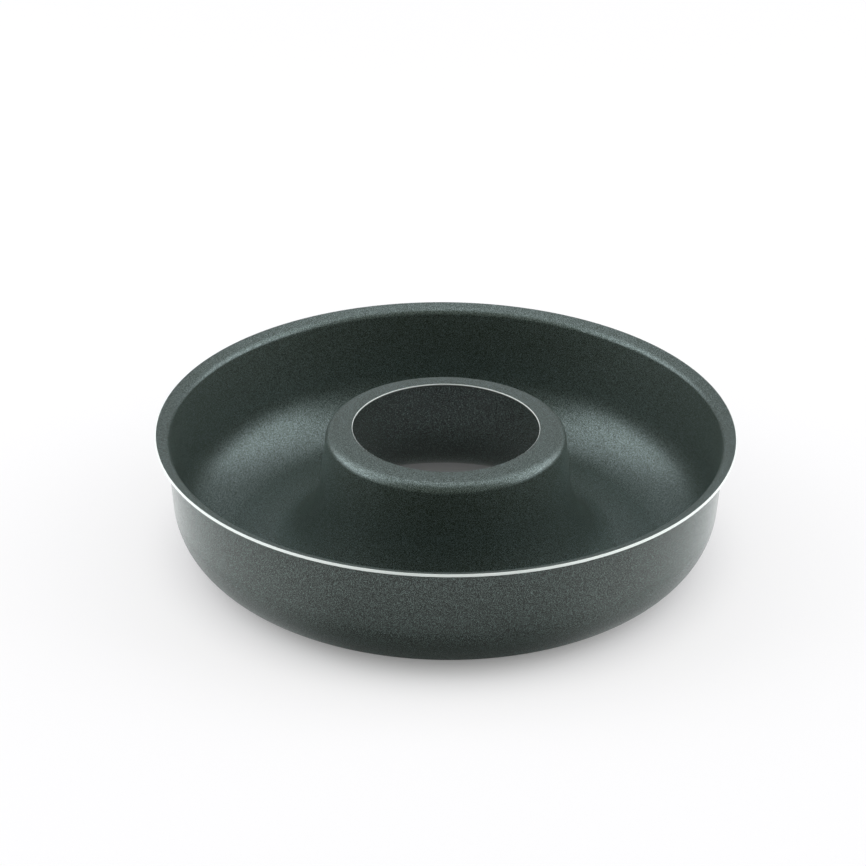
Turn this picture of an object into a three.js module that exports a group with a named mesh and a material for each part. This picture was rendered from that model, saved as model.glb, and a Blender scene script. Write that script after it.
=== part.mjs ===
// Savarin mould: a ring-shaped trough round an open chimney, with a narrow flared rim.
// It is drawn in one piece from a disc of aluminium sheet that carries a non-stick coat on both faces.
// The rim and the chimney hole are trimmed after drawing, so bare metal shows on those two cut edges only.
// Millimetres, +Z up. The origin is the middle of the flat ring that the mould stands on.
import * as THREE from "three";

// Overall sizes, over the coats
const rimDiameter = 260; // across the trimmed edge of the rim
const rimHeight = 58.4; // from the table to the highest edge of the rim
const chimneyHeight = 59.1; // from the table to the edge of the chimney hole
const holeDiameter = 83.8; // of the hole pierced through the top of the chimney

// Thickness of each layer
const sheetThickness = 1.2;
const insideCoatThickness = 0.04;
const outsideCoatThickness = 0.03;
const bondLine = 0.002; // clearance between the metal and the underside of each coat

// Angles, in degrees
const rimSlope = 20; // rise of the rim, from the horizontal
const wallDraft = 4.5; // lean of the outer wall, from the vertical
const chimneyDraft = 6.2; // lean of the chimney, from the vertical
const landFall = 11; // slope of the crowned land at the shoulder, from the horizontal

// Runs and bends, measured on the baking side of the metal
const rimFlange = 4.3; // straight width of the rim, along its slope
const rimBend = 3.1; // radius from the outer wall out to the rim
const cornerBend = 27; // radius from the outer wall in to the floor
const footReach = 23.5; // half-width of the flared foot of the chimney, a quarter of an upright ellipse
const footRise = 38; // half-height of the same ellipse
const shoulderBend = 5; // radius from the chimney in to the land
const landWidth = 8.1; // crowned ring between the shoulder and the hole

// How far a facet may lie from the true curve
const chordError = 0.26;

const rimRise = THREE.MathUtils.degToRad(rimSlope);
const wallLean = THREE.MathUtils.degToRad(wallDraft);
const chimneyLean = THREE.MathUtils.degToRad(chimneyDraft);
const landTilt = THREE.MathUtils.degToRad(landFall);
const quarterTurn = Math.PI / 2;

// The section is drawn in the half-plane of radius and height, on the baking side of the metal.
// A depth is measured from there into the sheet. Below zero it lies in the inside coat.
const insideFace = -bondLine - insideCoatThickness;
const outsideFace = sheetThickness + bondLine + outsideCoatThickness;
const floorLevel = outsideFace;
const holeLevel = chimneyHeight + insideFace;
const rimEdge = new THREE.Vector2(
  rimDiameter / 2 - outsideFace * Math.sin(rimRise),
  rimHeight + insideFace * Math.cos(rimRise),
);
const outAlongRim = new THREE.Vector2(Math.cos(rimRise), Math.sin(rimRise));
const intoRim = new THREE.Vector2(Math.sin(rimRise), -Math.cos(rimRise));

// Distance from the middle of an ellipse to the tangent whose normal points along the angle.
function tangentDistance(reach, rise, angle) {
  return Math.hypot(reach * Math.cos(angle), rise * Math.sin(angle));
}

// Centres of the bends. The rim is straight from its trimmed edge to the rim bend.
const rimCentre = rimEdge
  .clone()
  .addScaledVector(outAlongRim, -rimFlange)
  .addScaledVector(intoRim, rimBend);
// The straight outer wall is tangent to the rim bend on one side and to the corner bend on the other.
const cornerLevel = floorLevel + cornerBend;
const cornerCentre = new THREE.Vector2(
  rimCentre.x
    - (rimBend + cornerBend) / Math.cos(wallLean)
    - (rimCentre.y - cornerLevel) * Math.tan(wallLean),
  cornerLevel,
);
// The land is level at the hole and falls on a wide curve to the shoulder, which goes on from its slope.
const crownBend = landWidth / Math.sin(landTilt);
const crownCentre = new THREE.Vector2(holeDiameter / 2, holeLevel - crownBend);
const shoulderCentre = new THREE.Vector2(
  crownCentre.x + (crownBend - shoulderBend) * Math.sin(landTilt),
  crownCentre.y + (crownBend - shoulderBend) * Math.cos(landTilt),
);
// The straight part of the chimney is tangent to the shoulder bend and to the flared foot.
const footLevel = floorLevel + footRise;
const footCentre = new THREE.Vector2(
  shoulderCentre.x
    + (shoulderBend + tangentDistance(footReach, footRise, chimneyLean)) / Math.cos(chimneyLean)
    + (shoulderCentre.y - footLevel) * Math.tan(chimneyLean),
  footLevel,
);

// Number of facets that keep an arc within the chord error.
function facetsOf(radius, turn) {
  const widestFacet = 2 * Math.acos(1 - chordError / radius);
  return Math.ceil(Math.abs(turn) / widestFacet);
}

// Points along a bend, stepped by the direction of its normal, so that faces at two depths are parallel.
// A bend whose centre lies under the sheet gets tighter with depth, any other wider.
function bend({ centre, reach, rise, from, to, centreUnderSheet }, depth) {
  const flattestRadius = Math.max(reach, rise) ** 2 / Math.min(reach, rise);
  const facets = facetsOf(flattestRadius, to - from);
  const offset = centreUnderSheet ? -depth : depth;
  return Array.from({ length: facets + 1 }, (_, step) => {
    const angle = from + ((to - from) * step) / facets;
    const span = tangentDistance(reach, rise, angle);
    return new THREE.Vector2(
      centre.x + (reach ** 2 / span + offset) * Math.cos(angle),
      centre.y + (rise ** 2 / span + offset) * Math.sin(angle),
    );
  });
}

const bends = [
  {
    centre: rimCentre,
    reach: rimBend,
    rise: rimBend,
    from: quarterTurn + rimRise,
    to: 2 * quarterTurn - wallLean,
    centreUnderSheet: true,
  },
  {
    centre: cornerCentre,
    reach: cornerBend,
    rise: cornerBend,
    from: -wallLean,
    to: -quarterTurn,
    centreUnderSheet: false,
  },
  {
    centre: footCentre,
    reach: footReach,
    rise: footRise,
    from: -quarterTurn,
    to: -2 * quarterTurn + chimneyLean,
    centreUnderSheet: false,
  },
  {
    centre: shoulderCentre,
    reach: shoulderBend,
    rise: shoulderBend,
    from: chimneyLean,
    to: quarterTurn - landTilt,
    centreUnderSheet: true,
  },
];
const crown = {
  centre: crownCentre,
  reach: crownBend,
  rise: crownBend,
  from: quarterTurn - landTilt,
  to: quarterTurn,
  centreUnderSheet: true,
};

// One face of the drawn sheet from the rim to the chimney hole. Straight runs join the bends.
function faceAt(depth) {
  const trimmedEdge = rimEdge.clone().addScaledVector(intoRim, depth);
  const [, ...land] = bend(crown, depth); // its first point is the last of the shoulder
  return [trimmedEdge, ...bends.flatMap((each) => bend(each, depth)), ...land];
}

// Facets round the ring, a multiple of four so that the widest points lie on both axes.
const ringFacets = 4 * Math.ceil(facetsOf(rimDiameter / 2, 4 * quarterTurn) / 4);

// A layer of the sheet between two depths, revolved about the upright axis.
function layer(name, nearDepth, farDepth, material) {
  const near = faceAt(nearDepth);
  const far = faceAt(farDepth).reverse();
  const outline = [...near, ...far, near[0]];
  const ring = new THREE.LatheGeometry(outline, ringFacets);
  ring.rotateX(quarterTurn);
  const mesh = new THREE.Mesh(ring, material);
  mesh.name = name;
  return mesh;
}

// Mill-finish aluminium, seen on the trimmed edges
const bareAluminium = new THREE.MeshStandardMaterial({
  color: 0xdfe4e3,
  roughness: 0.35,
  metalness: 1,
});

// Satin green-grey non-stick with fine pale flecks
const insideNonStick = new THREE.MeshStandardMaterial({
  color: 0x343b38,
  roughness: 0.45,
  metalness: 0.1,
});
const outsideNonStick = new THREE.MeshStandardMaterial({
  color: 0x3a423f,
  roughness: 0.5,
  metalness: 0.1,
});

const mould = new THREE.Group();
mould.name = "savarin_mould";
mould.add(
  layer("pressed_shell", 0, sheetThickness, bareAluminium),
  layer("inside_coat", insideFace, -bondLine, insideNonStick),
  layer("outside_coat", sheetThickness + bondLine, outsideFace, outsideNonStick),
);

export default mould;
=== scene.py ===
import math

import bmesh
import bpy
from mathutils import Matrix, Vector


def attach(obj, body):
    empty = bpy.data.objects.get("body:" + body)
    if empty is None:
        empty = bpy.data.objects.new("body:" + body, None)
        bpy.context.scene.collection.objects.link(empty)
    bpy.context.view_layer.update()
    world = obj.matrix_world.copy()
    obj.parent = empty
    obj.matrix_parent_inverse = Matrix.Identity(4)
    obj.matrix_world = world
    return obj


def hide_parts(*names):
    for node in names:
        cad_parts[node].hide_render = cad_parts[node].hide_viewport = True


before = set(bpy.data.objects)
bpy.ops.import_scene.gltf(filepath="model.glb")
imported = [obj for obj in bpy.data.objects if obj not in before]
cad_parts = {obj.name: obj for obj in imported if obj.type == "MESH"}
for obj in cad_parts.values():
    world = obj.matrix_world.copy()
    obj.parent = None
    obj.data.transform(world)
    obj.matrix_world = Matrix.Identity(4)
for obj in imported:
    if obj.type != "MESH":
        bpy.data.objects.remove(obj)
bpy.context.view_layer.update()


# Pressed shell
# One disc of aluminium sheet, drawn between a punch and a die into a ring trough with an open chimney.
# The rim and the chimney hole are trimmed last and their edges are deburred, so bare metal shows there.

MM = 0.001
RIM_RADIUS = 130 * MM
RIM_HEIGHT = 58.4 * MM
RIM_SLOPE = math.radians(20)
RIM_FLANGE = 4.3 * MM
RIM_BEND = 3.1 * MM
WALL_LEAN = math.radians(4.5)
CORNER_BEND = 27 * MM
FOOT_REACH = 23.5 * MM
FOOT_RISE = 38 * MM
CHIMNEY_LEAN = math.radians(6.2)
CHIMNEY_HEIGHT = 59.1 * MM
SHOULDER_BEND = 5 * MM
LAND_FALL = math.radians(11)
LAND_WIDTH = 8.1 * MM
HOLE_RADIUS = 41.9 * MM
SHEET = 1.2 * MM
BOND = 0.002 * MM
INSIDE_FILM = 0.04 * MM
OUTSIDE_FILM = 0.03 * MM
DEBURR = 0.2 * MM

INSIDE_FACE = -BOND - INSIDE_FILM
OUTSIDE_FACE = SHEET + BOND + OUTSIDE_FILM
HOLE_LEVEL = CHIMNEY_HEIGHT + INSIDE_FACE
CROWN_BEND = LAND_WIDTH / math.sin(LAND_FALL)

STEPS_ROUND = 288
BEND_STEP = math.radians(2.5)
DEBURR_STEPS = 5
SHARP_FOLD = math.radians(40)


def tangent_distance(reach, rise, angle):
    """From the middle of an ellipse to the tangent whose normal points along the angle."""
    return math.hypot(reach * math.cos(angle), rise * math.sin(angle))


def bend(centre, reach, rise, start, end, offset):
    """Points along a bend of the sheet, stepped by the direction of its normal."""
    steps = math.ceil(abs(end - start) / BEND_STEP)
    points = []
    for step in range(steps + 1):
        angle = start + (end - start) * step / steps
        span = tangent_distance(reach, rise, angle)
        points.append(Vector((
            centre.x + (reach ** 2 / span + offset) * math.cos(angle),
            centre.y + (rise ** 2 / span + offset) * math.sin(angle),
        )))
    return points


rim_edge = Vector((
    RIM_RADIUS - OUTSIDE_FACE * math.sin(RIM_SLOPE),
    RIM_HEIGHT + INSIDE_FACE * math.cos(RIM_SLOPE),
))
rim_out = Vector((math.cos(RIM_SLOPE), math.sin(RIM_SLOPE)))
rim_in_depth = Vector((math.sin(RIM_SLOPE), -math.cos(RIM_SLOPE)))
rim_centre = rim_edge - rim_out * RIM_FLANGE + rim_in_depth * RIM_BEND
corner_level = OUTSIDE_FACE + CORNER_BEND
corner_centre = Vector((
    rim_centre.x
    - (RIM_BEND + CORNER_BEND) / math.cos(WALL_LEAN)
    - (rim_centre.y - corner_level) * math.tan(WALL_LEAN),
    corner_level,
))
crown_centre = Vector((HOLE_RADIUS, HOLE_LEVEL - CROWN_BEND))
land_normal = Vector((math.sin(LAND_FALL), math.cos(LAND_FALL)))
shoulder_centre = crown_centre + land_normal * (CROWN_BEND - SHOULDER_BEND)
foot_level = OUTSIDE_FACE + FOOT_RISE
foot_centre = Vector((
    shoulder_centre.x
    + (SHOULDER_BEND + tangent_distance(FOOT_REACH, FOOT_RISE, CHIMNEY_LEAN)) / math.cos(CHIMNEY_LEAN)
    + (shoulder_centre.y - foot_level) * math.tan(CHIMNEY_LEAN),
    foot_level,
))


def sheet_face(depth, setback):
    """One face of the drawn sheet from the rim to the hole, ending a little short of both cut edges."""
    shoulder_end = math.pi / 2 - LAND_FALL
    land_end = math.pi / 2 - setback / CROWN_BEND
    return [
        rim_edge + rim_in_depth * depth - rim_out * setback,
        *bend(rim_centre, RIM_BEND, RIM_BEND, math.pi / 2 + RIM_SLOPE, math.pi - WALL_LEAN, -depth),
        *bend(corner_centre, CORNER_BEND, CORNER_BEND, -WALL_LEAN, -math.pi / 2, depth),
        *bend(foot_centre, FOOT_REACH, FOOT_RISE, -math.pi / 2, CHIMNEY_LEAN - math.pi, depth),
        *bend(shoulder_centre, SHOULDER_BEND, SHOULDER_BEND, CHIMNEY_LEAN, shoulder_end, -depth),
        *bend(crown_centre, CROWN_BEND, CROWN_BEND, shoulder_end, land_end, -depth)[1:],
    ]


def rounded_corner(corner, arriving, leaving):
    """A deburred corner of a cut edge: a small quarter round between two directions."""
    points = []
    for step in range(DEBURR_STEPS + 1):
        turn = math.pi / 2 * step / DEBURR_STEPS
        short = arriving * DEBURR * (1 - math.sin(turn))
        past = leaving * DEBURR * (1 - math.cos(turn))
        points.append(corner - short + past)
    return points


def turned_section():
    """The tree that turns a section round the upright axis, in equal steps."""
    tree = bpy.data.node_groups.new("turned_section", "GeometryNodeTree")
    for name, kind, direction in (
        ("Section", "NodeSocketGeometry", "INPUT"),
        ("Steps round", "NodeSocketInt", "INPUT"),
        ("Finish", "NodeSocketMaterial", "INPUT"),
        ("Turned piece", "NodeSocketGeometry", "OUTPUT"),
    ):
        tree.interface.new_socket(name, in_out=direction, socket_type=kind)

    def add(kind, **settings):
        node = tree.nodes.new(kind)
        for name, value in settings.items():
            setattr(node, name, value)
        return node

    def join(source, output, target, socket):
        tree.links.new(source.outputs[output], target.inputs[socket])

    given = add("NodeGroupInput")
    outline = add("GeometryNodeMeshToCurve")
    join(given, "Section", outline, "Mesh")
    keep_outline = add("GeometryNodeCaptureAttribute")
    keep_outline.capture_items.new("VECTOR", "Outline")
    join(outline, "Curve", keep_outline, "Geometry")
    position = add("GeometryNodeInputPosition")
    join(position, "Position", keep_outline, "Outline")
    circle = add("GeometryNodeCurvePrimitiveCircle", mode="RADIUS")
    join(given, "Steps round", circle, "Resolution")
    circle.inputs["Radius"].default_value = 1
    keep_direction = add("GeometryNodeCaptureAttribute")
    keep_direction.capture_items.new("VECTOR", "Direction")
    join(circle, "Curve", keep_direction, "Geometry")
    join(position, "Position", keep_direction, "Direction")
    sweep = add("GeometryNodeCurveToMesh")
    join(keep_direction, "Geometry", sweep, "Curve")
    join(keep_outline, "Geometry", sweep, "Profile Curve")
    parts = add("ShaderNodeSeparateXYZ")
    join(keep_outline, "Outline", parts, "Vector")
    radial = add("ShaderNodeVectorMath", operation="SCALE")
    join(keep_direction, "Direction", radial, "Vector")
    join(parts, "X", radial, "Scale")
    upright = add("ShaderNodeCombineXYZ")
    join(parts, "Z", upright, "Z")
    place = add("ShaderNodeVectorMath", operation="ADD")
    join(radial, "Vector", place, 0)
    join(upright, "Vector", place, 1)
    turn = add("GeometryNodeSetPosition")
    join(sweep, "Mesh", turn, "Geometry")
    join(place, "Vector", turn, "Position")
    realize = add("GeometryNodeRealizeInstances")
    join(turn, "Geometry", realize, "Geometry")
    paint = add("GeometryNodeSetMaterial")
    join(realize, "Geometry", paint, "Geometry")
    join(given, "Finish", paint, "Material")
    result = add("NodeGroupOutput")
    join(paint, "Geometry", result, "Turned piece")
    return tree


TURNED_SECTION = turned_section()


def turn_layer(name, section, material):
    """Turns a closed section into one finished layer of the mould."""
    mesh = bpy.data.meshes.new(name + "_section")
    count = len(section)
    mesh.from_pydata(
        [(point.x, 0, point.y) for point in section],
        [(index, (index + 1) % count) for index in range(count)],
        [],
    )
    drawing = bpy.data.objects.new(name + "_section", mesh)
    bpy.context.scene.collection.objects.link(drawing)
    turning = drawing.modifiers.new("turning", "NODES")
    turning.node_group = TURNED_SECTION
    sockets = {item.name: item.identifier for item in TURNED_SECTION.interface.items_tree}
    turning[sockets["Steps round"]] = STEPS_ROUND
    turning[sockets["Finish"]] = material
    bpy.context.view_layer.update()
    turned = bpy.data.meshes.new_from_object(drawing.evaluated_get(bpy.context.evaluated_depsgraph_get()))
    bpy.data.objects.remove(drawing)
    bpy.data.meshes.remove(mesh)
    shape = bmesh.new()
    shape.from_mesh(turned)
    bmesh.ops.recalc_face_normals(shape, faces=shape.faces)
    for face in shape.faces:
        face.smooth = True
    shape.to_mesh(turned)
    shape.free()
    turned.set_sharp_from_angle(angle=SHARP_FOLD)
    turned.name = name
    layer = bpy.data.objects.new(name, turned)
    bpy.context.scene.collection.objects.link(layer)
    return layer


class Shade:
    """A socket of a material, so that its maths reads as plain expressions."""

    def __init__(self, tree, socket):
        self.tree = tree
        self.socket = socket

    def node(self, kind, settings=None, inputs=None, output=0):
        """Adds a node, with its settings first and then the values or links of its sockets."""
        made = self.tree.nodes.new(kind)
        for name, value in (settings or {}).items():
            setattr(made, name, value)
        for name, value in (inputs or {}).items():
            if isinstance(value, Shade):
                self.tree.links.new(value.socket, made.inputs[name])
            else:
                made.inputs[name].default_value = value
        return Shade(self.tree, made.outputs[output])

    def sibling(self, output):
        """Another output of the node that this socket belongs to."""
        return Shade(self.tree, self.socket.node.outputs[output])

    def maths(self, operation, first, second):
        """One step of arithmetic on sockets or plain numbers."""
        return self.node("ShaderNodeMath", {"operation": operation}, {0: first, 1: second})

    def __add__(self, other):
        return self.maths("ADD", self, other)

    def __radd__(self, other):
        return self.maths("ADD", other, self)

    def __sub__(self, other):
        return self.maths("SUBTRACT", self, other)

    def __rsub__(self, other):
        return self.maths("SUBTRACT", other, self)

    def __mul__(self, other):
        return self.maths("MULTIPLY", self, other)

    def __rmul__(self, other):
        return self.maths("MULTIPLY", other, self)

    def __truediv__(self, other):
        return self.maths("DIVIDE", self, other)

    def __pow__(self, other):
        return self.maths("POWER", self, other)

    def __lt__(self, other):
        return self.maths("LESS_THAN", self, other)


def new_finish(name):
    """An empty material: its surface shader's node, and the object coordinates to build on."""
    material = bpy.data.materials.new(name)
    material.use_nodes = True
    tree = material.node_tree
    surface = tree.nodes["Principled BSDF"]
    place = tree.nodes.new("ShaderNodeTexCoord")
    return material, surface, Shade(tree, place.outputs["Object"])


def feed(surface, name, shade):
    """Leads a varying value or colour to a socket of a shader."""
    shade.tree.links.new(shade.socket, surface.inputs[name])


def blend(factor, first, second):
    """A colour between two, by a varying factor."""
    colours = {"Factor": factor, "A": first, "B": second}
    return factor.node("ShaderNodeMix", {"data_type": "RGBA"}, colours, output=2)


BRIGHT_CUT = (0.95, 0.98, 0.97, 1)
DULLED_CUT = (0.88, 0.92, 0.91, 1)
TORN_CUT = (0.12, 0.13, 0.125, 1)
TORN_BELOW = HOLE_LEVEL - 0.4 * SHEET
CUT_ROUGHNESS = 0.76
LINE_ROUGHNESS = 0.16
TORN_ROUGHNESS = 0.05
TARNISH_SCALE = 60.0
LINES_ACROSS = 9000
LINES_ROUND = 14
LINE_DEPTH = 0.03 * MM


def bare_aluminium():
    """Bare aluminium with the fine lines that the cutter leaves along an edge, torn low in the hole."""
    material, surface, place = new_finish("bare_aluminium")
    surface.inputs["Metallic"].default_value = 1
    x = place.node("ShaderNodeSeparateXYZ", {}, {0: place})
    y = x.sibling("Y")
    z = x.sibling("Z")
    angle = x.maths("ARCTAN2", y, x)
    radius = (x * x + y * y) ** 0.5
    along_cut = place.node(
        "ShaderNodeCombineXYZ", {}, {0: radius * LINES_ACROSS, 1: z * LINES_ACROSS, 2: angle * LINES_ROUND}
    )
    lines = place.node("ShaderNodeTexNoise", {}, {"Vector": along_cut, "Scale": 1.0, "Detail": 3.0})
    tarnish = place.node("ShaderNodeTexNoise", {}, {"Vector": place, "Scale": TARNISH_SCALE, "Detail": 4.0})
    torn = (z < TORN_BELOW) * (radius < 2 * HOLE_RADIUS)
    feed(surface, "Base Color", blend(torn, blend(tarnish, DULLED_CUT, BRIGHT_CUT), TORN_CUT))
    feed(surface, "Roughness", CUT_ROUGHNESS + lines * LINE_ROUGHNESS + torn * TORN_ROUGHNESS)
    cut = place.node("ShaderNodeBump", {}, {"Strength": 0.25, "Distance": LINE_DEPTH, "Height": lines})
    feed(surface, "Normal", cut)
    return material


hole_in = Vector((-1, 0))
down = Vector((0, -1))
shell_section = [
    *sheet_face(0, DEBURR),
    *rounded_corner(Vector((HOLE_RADIUS, HOLE_LEVEL)), hole_in, down),
    *rounded_corner(Vector((HOLE_RADIUS, HOLE_LEVEL - SHEET)), down, -hole_in),
    *reversed(sheet_face(SHEET, DEBURR)),
    *rounded_corner(rim_edge + rim_in_depth * SHEET, rim_out, -rim_in_depth),
    *rounded_corner(rim_edge, -rim_in_depth, -rim_out),
]
shell = turn_layer("shell", shell_section, bare_aluminium())
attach(shell, "root")
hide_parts("pressed_shell")


# Inside coat
# A dark green-grey non-stick film on the baking side, sprayed on the flat disc and fired before drawing.
# Fine pale flakes lie in it at all angles, so it is satin with a close speckle.

DRIFT_SCALE = 22.0
GRAIN_SCALE = 2600.0
FLAKE_SOFTNESS = 0.08
FLAKE_METAL = 0.9
DULLEST_FLAKE = 0.4
UNEVENNESS = 0.08
# How the painted shade low on the outer wall wavers, fades in, hides flakes, takes gloss away and roughens.
FOOT_SHADE_WAVER = 10 * MM
FOOT_SHADE_FADE = 16 * MM
FOOT_SHADE_HIDES_FLAKES = 0.45
FOOT_SHADE_DULLS_GLOSS = 0.6
FOOT_SHADE_ROUGHENS = 0.2
BORE_REACH = 70 * MM
WALL_REACH = 105 * MM
PEEL_DEPTH = 0.01 * MM


def fade(value, start, end):
    """0 at the start, 1 at the end and smooth between them."""
    ends = {"Value": value, "From Min": start, "From Max": end}
    return value.node("ShaderNodeMapRange", {"interpolation_type": "SMOOTHSTEP"}, ends)


def non_stick(
    name, ground, flake, flake_scale, flake_size, flake_tilt, ior, tint, roughness,
    gloss=0, foot_shade_below=0, bore_grain_and_painted_light=0,
):
    """A fired non-stick film: a dark ground with close pale flakes that lie at slightly different angles."""
    material, surface, place = new_finish(name)
    surface.inputs["IOR"].default_value = ior
    surface.inputs["Specular Tint"].default_value = tint
    drift = place.node("ShaderNodeTexNoise", {}, {"Vector": place, "Scale": DRIFT_SCALE, "Detail": 3.0})
    grain = place.node("ShaderNodeTexNoise", {}, {"Vector": place, "Scale": GRAIN_SCALE, "Detail": 1.0})

    height = place.node("ShaderNodeSeparateXYZ", {}, {0: place}, output=2)
    from_middle = place.node("ShaderNodeVectorMath", {"operation": "LENGTH"}, {0: place}, output=1)
    on_wall = fade(from_middle, BORE_REACH, WALL_REACH)
    # Painted shade: low on the outer wall the film gets fewer flakes, less gloss and more roughness, so the
    # foot looks darker, as if it mirrored the dark floor.
    foot_shade = fade(height + (drift - 0.5) * FOOT_SHADE_WAVER, foot_shade_below, foot_shade_below - FOOT_SHADE_FADE) * on_wall

    cells = {"Vector": place, "Scale": flake_scale, "Randomness": 1.0}
    from_flake = place.node("ShaderNodeTexVoronoi", {}, cells)
    lot = from_flake.sibling("Color")
    draw = place.node("ShaderNodeSeparateXYZ", {}, {0: lot})
    # In the bore the flakes are larger: a coarser grain there, and a painted lift of light in that recess.
    size = flake_size + bore_grain_and_painted_light * (1 - on_wall)
    shown = fade(from_flake, size + FLAKE_SOFTNESS, size - FLAKE_SOFTNESS)
    brightness = DULLEST_FLAKE + draw * (1 - DULLEST_FLAKE)
    flakes = shown * brightness * (1 - foot_shade * FOOT_SHADE_HIDES_FLAKES)
    feed(surface, "Base Color", blend(flakes, ground, flake))
    feed(surface, "Metallic", flakes * FLAKE_METAL)
    if gloss:
        feed(surface, "Coat Weight", gloss * (1 - foot_shade * FOOT_SHADE_DULLS_GLOSS))
    uneven = (drift - 0.5) * UNEVENNESS + (grain - 0.5) * UNEVENNESS
    feed(surface, "Roughness", roughness + uneven + foot_shade * FOOT_SHADE_ROUGHENS)

    middle = from_flake.sibling("Position")
    away = place.node("ShaderNodeVectorMath", {"operation": "SUBTRACT"}, {0: place, 1: middle})
    lean = place.node("ShaderNodeVectorMath", {"operation": "SUBTRACT"}, {0: lot, 1: (0.5, 0.5, 0.5)})
    tilt = place.node("ShaderNodeVectorMath", {"operation": "DOT_PRODUCT"}, {0: away, 1: lean}, output=1)
    relief = tilt * flake_tilt + grain * PEEL_DEPTH
    peel = place.node("ShaderNodeBump", {}, {"Strength": 1.0, "Distance": 1.0, "Height": relief})
    feed(surface, "Normal", peel)
    return material


inside_section = [*sheet_face(INSIDE_FACE, DEBURR), *reversed(sheet_face(-BOND, DEBURR))]
inside_film = non_stick(
    "inside_nonstick",
    ground=(0.009, 0.0125, 0.001, 1),
    flake=(0.36, 0.445, 0.455, 1),
    flake_scale=3500,
    flake_size=0.42,
    flake_tilt=0.10,
    ior=1.72,
    tint=(0.79, 1.0, 1.0, 1),
    roughness=0.36,
)
inside = turn_layer("inside_film", inside_section, inside_film)
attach(inside, "root")
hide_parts("inside_coat")


# Outside coat
# The same kind of film on the outer wall, the base and the bore of the chimney, a little thinner.
# A clear top layer gives it a gloss at the sides. Low on the outer wall it is painted darker and duller
# round the foot, a painted shade for the dark floor mirrored there.

outside_section = [*sheet_face(SHEET + BOND, DEBURR), *reversed(sheet_face(OUTSIDE_FACE, DEBURR))]
outside_film = non_stick(
    "outside_nonstick",
    ground=(0.003, 0.005, 0.001, 1),
    flake=(0.22, 0.305, 0.285, 1),
    flake_scale=2900,
    flake_size=0.365,
    flake_tilt=0.25,
    ior=1.2,
    tint=(0.62, 1.0, 0.9, 1),
    roughness=0.22,
    gloss=1,
    foot_shade_below=30 * MM,
    bore_grain_and_painted_light=0.08,
)
top_layer = outside_film.node_tree.nodes["Principled BSDF"].inputs
top_layer["Coat IOR"].default_value = 1.45
top_layer["Coat Roughness"].default_value = 0.22
top_layer["Sheen Weight"].default_value = 0.15
top_layer["Sheen Roughness"].default_value = 0.5
top_layer["Sheen Tint"].default_value = (0.85, 1, 1, 1)
outside = turn_layer("outside_film", outside_section, outside_film)
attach(outside, "root")
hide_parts("outside_coat")


# Table
# The mould stands on a wide sheet of white paper, which keeps its soft shadow.
# Seen or mirrored, the open paper is mostly a plain white, which fades out beside and under the mould.
# Close in front, mirrored rays see the paper painted darker: a painted shade in the wall's reflection.

PAPER_HALF = 4.0
PAPER_LEVEL = -0.1 * MM
PAPER_SHADE = (0.84, 0.84, 0.86, 1)
PAPER_FIBRE = (0.88, 0.88, 0.90, 1)
PAPER_LIT = (0.97, 0.96, 1.0, 1)
PAPER_PAINTED_SHADE = (0.58, 0.58, 0.60, 1)
PURE_WHITE = (1, 1, 1, 1)
LEAST_WHITE = 0.07
ADDED_WHITE = 0.63
WHITE_FROM = 85 * MM
WHITE_FULLY_AT = 142 * MM
PAINTED_SHADE_OUT_TO = 200 * MM
PAINTED_SHADE_FULLY_AT = 140 * MM
FRONT_EDGE = 0.72
FRONT_MIDDLE = 0.98

paper_mesh = bpy.data.meshes.new("paper")
corners = [(-1, -1), (1, -1), (1, 1), (-1, 1)]
paper_mesh.from_pydata(
    [(x * PAPER_HALF, y * PAPER_HALF, PAPER_LEVEL) for x, y in corners], [], [range(len(corners))]
)
paper_finish, paper_surface, paper_place = new_finish("white_paper")
fibre = paper_place.node("ShaderNodeTexNoise", {}, {"Vector": paper_place, "Scale": 900.0, "Detail": 2.0})
feed(paper_surface, "Base Color", blend(fibre, PAPER_SHADE, PAPER_FIBRE))
paper_surface.inputs["Roughness"].default_value = 0.95
paper_surface.inputs["Specular IOR Level"].default_value = 0.1

seen = paper_place.node("ShaderNodeLightPath")
mirrored = seen.sibling("Is Glossy Ray")
through = seen.sibling("Is Transmission Ray")
looked_at = seen.maths("MAXIMUM", seen, mirrored.maths("MAXIMUM", mirrored, through))
depth = paper_place.node("ShaderNodeSeparateXYZ", {}, {0: paper_place}, output=1)
reach = paper_place.node("ShaderNodeVectorMath", {"operation": "LENGTH"}, {0: paper_place}, output=1)
in_front = fade(0 - depth / reach, FRONT_EDGE, FRONT_MIDDLE)
close_by = fade(reach, PAINTED_SHADE_OUT_TO, PAINTED_SHADE_FULLY_AT)
lit_paper = seen.node("ShaderNodeBsdfDiffuse", {}, {"Color": PAPER_LIT})
plain_white = seen.node("ShaderNodeEmission", {}, {"Color": PURE_WHITE, "Strength": 1.0})
whiteness = LEAST_WHITE + fade(reach, WHITE_FROM, WHITE_FULLY_AT) * ADDED_WHITE
bright_paper = seen.node("ShaderNodeMixShader", {}, {0: whiteness, 1: lit_paper, 2: plain_white})
# Painted shade: a darker paper that only mirrored rays see, close in front of the mould.
painted_shade_paper = seen.node("ShaderNodeBsdfDiffuse", {}, {"Color": PAPER_PAINTED_SHADE})
white_paper = seen.node(
    "ShaderNodeMixShader", {}, {0: in_front * close_by * mirrored, 1: bright_paper, 2: painted_shade_paper}
)
plain_paper = Shade(paper_finish.node_tree, paper_surface.outputs[0])
paper_look = seen.node("ShaderNodeMixShader", {}, {0: looked_at, 1: plain_paper, 2: white_paper})
feed(paper_finish.node_tree.nodes["Material Output"], "Surface", paper_look)
paper_mesh.materials.append(paper_finish)
paper = bpy.data.objects.new("paper", paper_mesh)
bpy.context.scene.collection.objects.link(paper)


# Light
# One wide soft box hangs overhead, and at each side one hangs high and one stands low.
# The room adds a soft even light and is dimmer on the camera's side.


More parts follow.
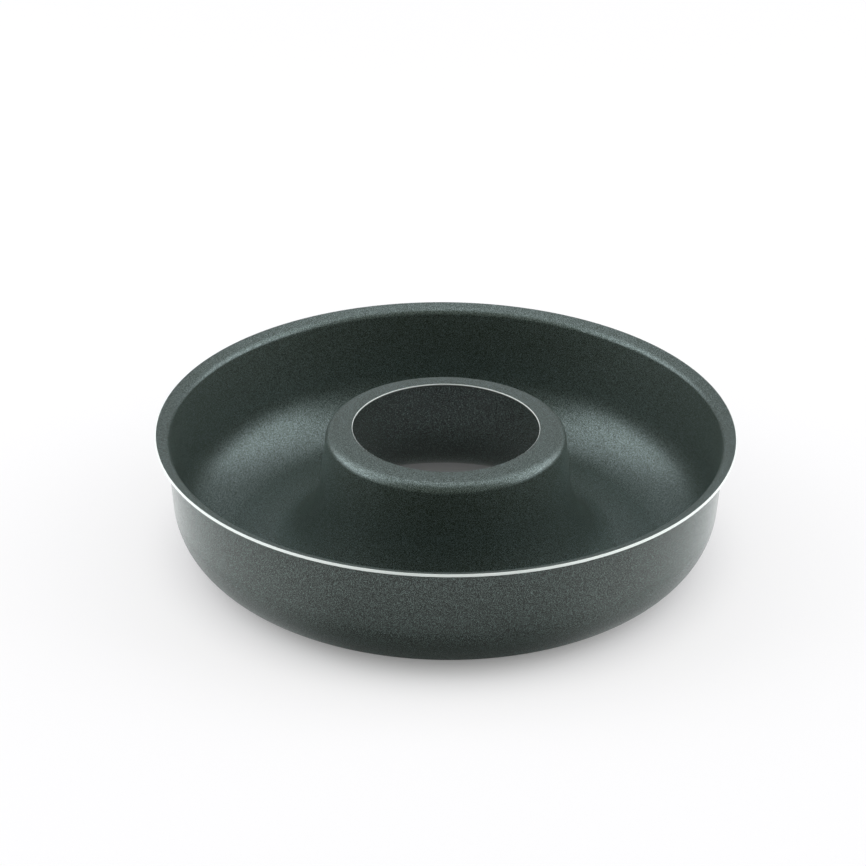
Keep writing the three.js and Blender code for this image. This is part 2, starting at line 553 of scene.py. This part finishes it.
def soft_box(name, place, aim, wide, tall, radiance):
    """A rectangular lamp of a given brightness of face, aimed at a point."""
    lamp = bpy.data.lights.new(name, "AREA")
    lamp.shape = "RECTANGLE"
    lamp.size = wide
    lamp.size_y = tall
    lamp.energy = radiance * math.pi * wide * tall
    box = bpy.data.objects.new(name, lamp)
    box.location = place
    box.rotation_euler = (Vector(aim) - Vector(place)).to_track_quat("-Z", "Y").to_euler()
    box.visible_camera = False
    bpy.context.scene.collection.objects.link(box)


OVERHEAD_BACK = 0.25
SIDE_BACK = 0.2
SIDE_REACH = 1.8
HIGH_LEVEL = 1.4
LOW_LEVEL = 0.58
ROOM_FRONT = (0.285, 0.295, 0.26, 1)
ROOM_BACK = (0.46, 0.46, 0.475, 1)
ROOM_TURN = (-0.7, 0.5)

soft_box(
    "overhead_box", (0, OVERHEAD_BACK, HIGH_LEVEL), (0, OVERHEAD_BACK, 0), wide=2.0, tall=1.3, radiance=0.94
)
for hand, away in (("left", -SIDE_REACH), ("right", SIDE_REACH)):
    high = (away, SIDE_BACK, HIGH_LEVEL)
    low = (away, SIDE_BACK, LOW_LEVEL)
    soft_box(hand + "_high_box", high, (away, SIDE_BACK, 0), wide=1.6, tall=1.6, radiance=1.75)
    soft_box(hand + "_low_box", low, (0, SIDE_BACK, LOW_LEVEL), wide=2.0, tall=1.05, radiance=2.25)

world = bpy.data.worlds.new("studio")
world.use_nodes = True
bpy.context.scene.world = world
sky = world.node_tree.nodes["Background"]
towards = world.node_tree.nodes.new("ShaderNodeTexCoord")
direction = Shade(world.node_tree, towards.outputs["Generated"])
backward = direction.node("ShaderNodeSeparateXYZ", {}, {0: direction}, output=1)
feed(sky, "Color", blend(fade(backward, *ROOM_TURN), ROOM_FRONT, ROOM_BACK))
sky.inputs["Strength"].default_value = 1


# Camera
# It stands in front of the mould, about 1.6 m away and 28 degrees up.
# It has a long lens and a slight roll.

camera_data = bpy.data.cameras.new("camera")
camera_data.sensor_width = 36
camera_data.sensor_fit = "HORIZONTAL"
camera_data.lens = 144.54
camera_data.clip_end = 20
camera = bpy.data.objects.new("camera", camera_data)
bpy.context.scene.collection.objects.link(camera)
stand = Matrix.Translation((0, -1.37432, 0.78557))
aim = Vector((-0.00371938, 0.88320999, -0.46896298))
side = Vector((0.99993345, 0.00840631, 0.00790125))
top = side.cross(aim)
camera.matrix_world = stand @ Matrix((side, top, -aim)).transposed().to_4x4()
bpy.context.scene.camera = camera
bpy.context.scene.view_settings.view_transform = "Standard"
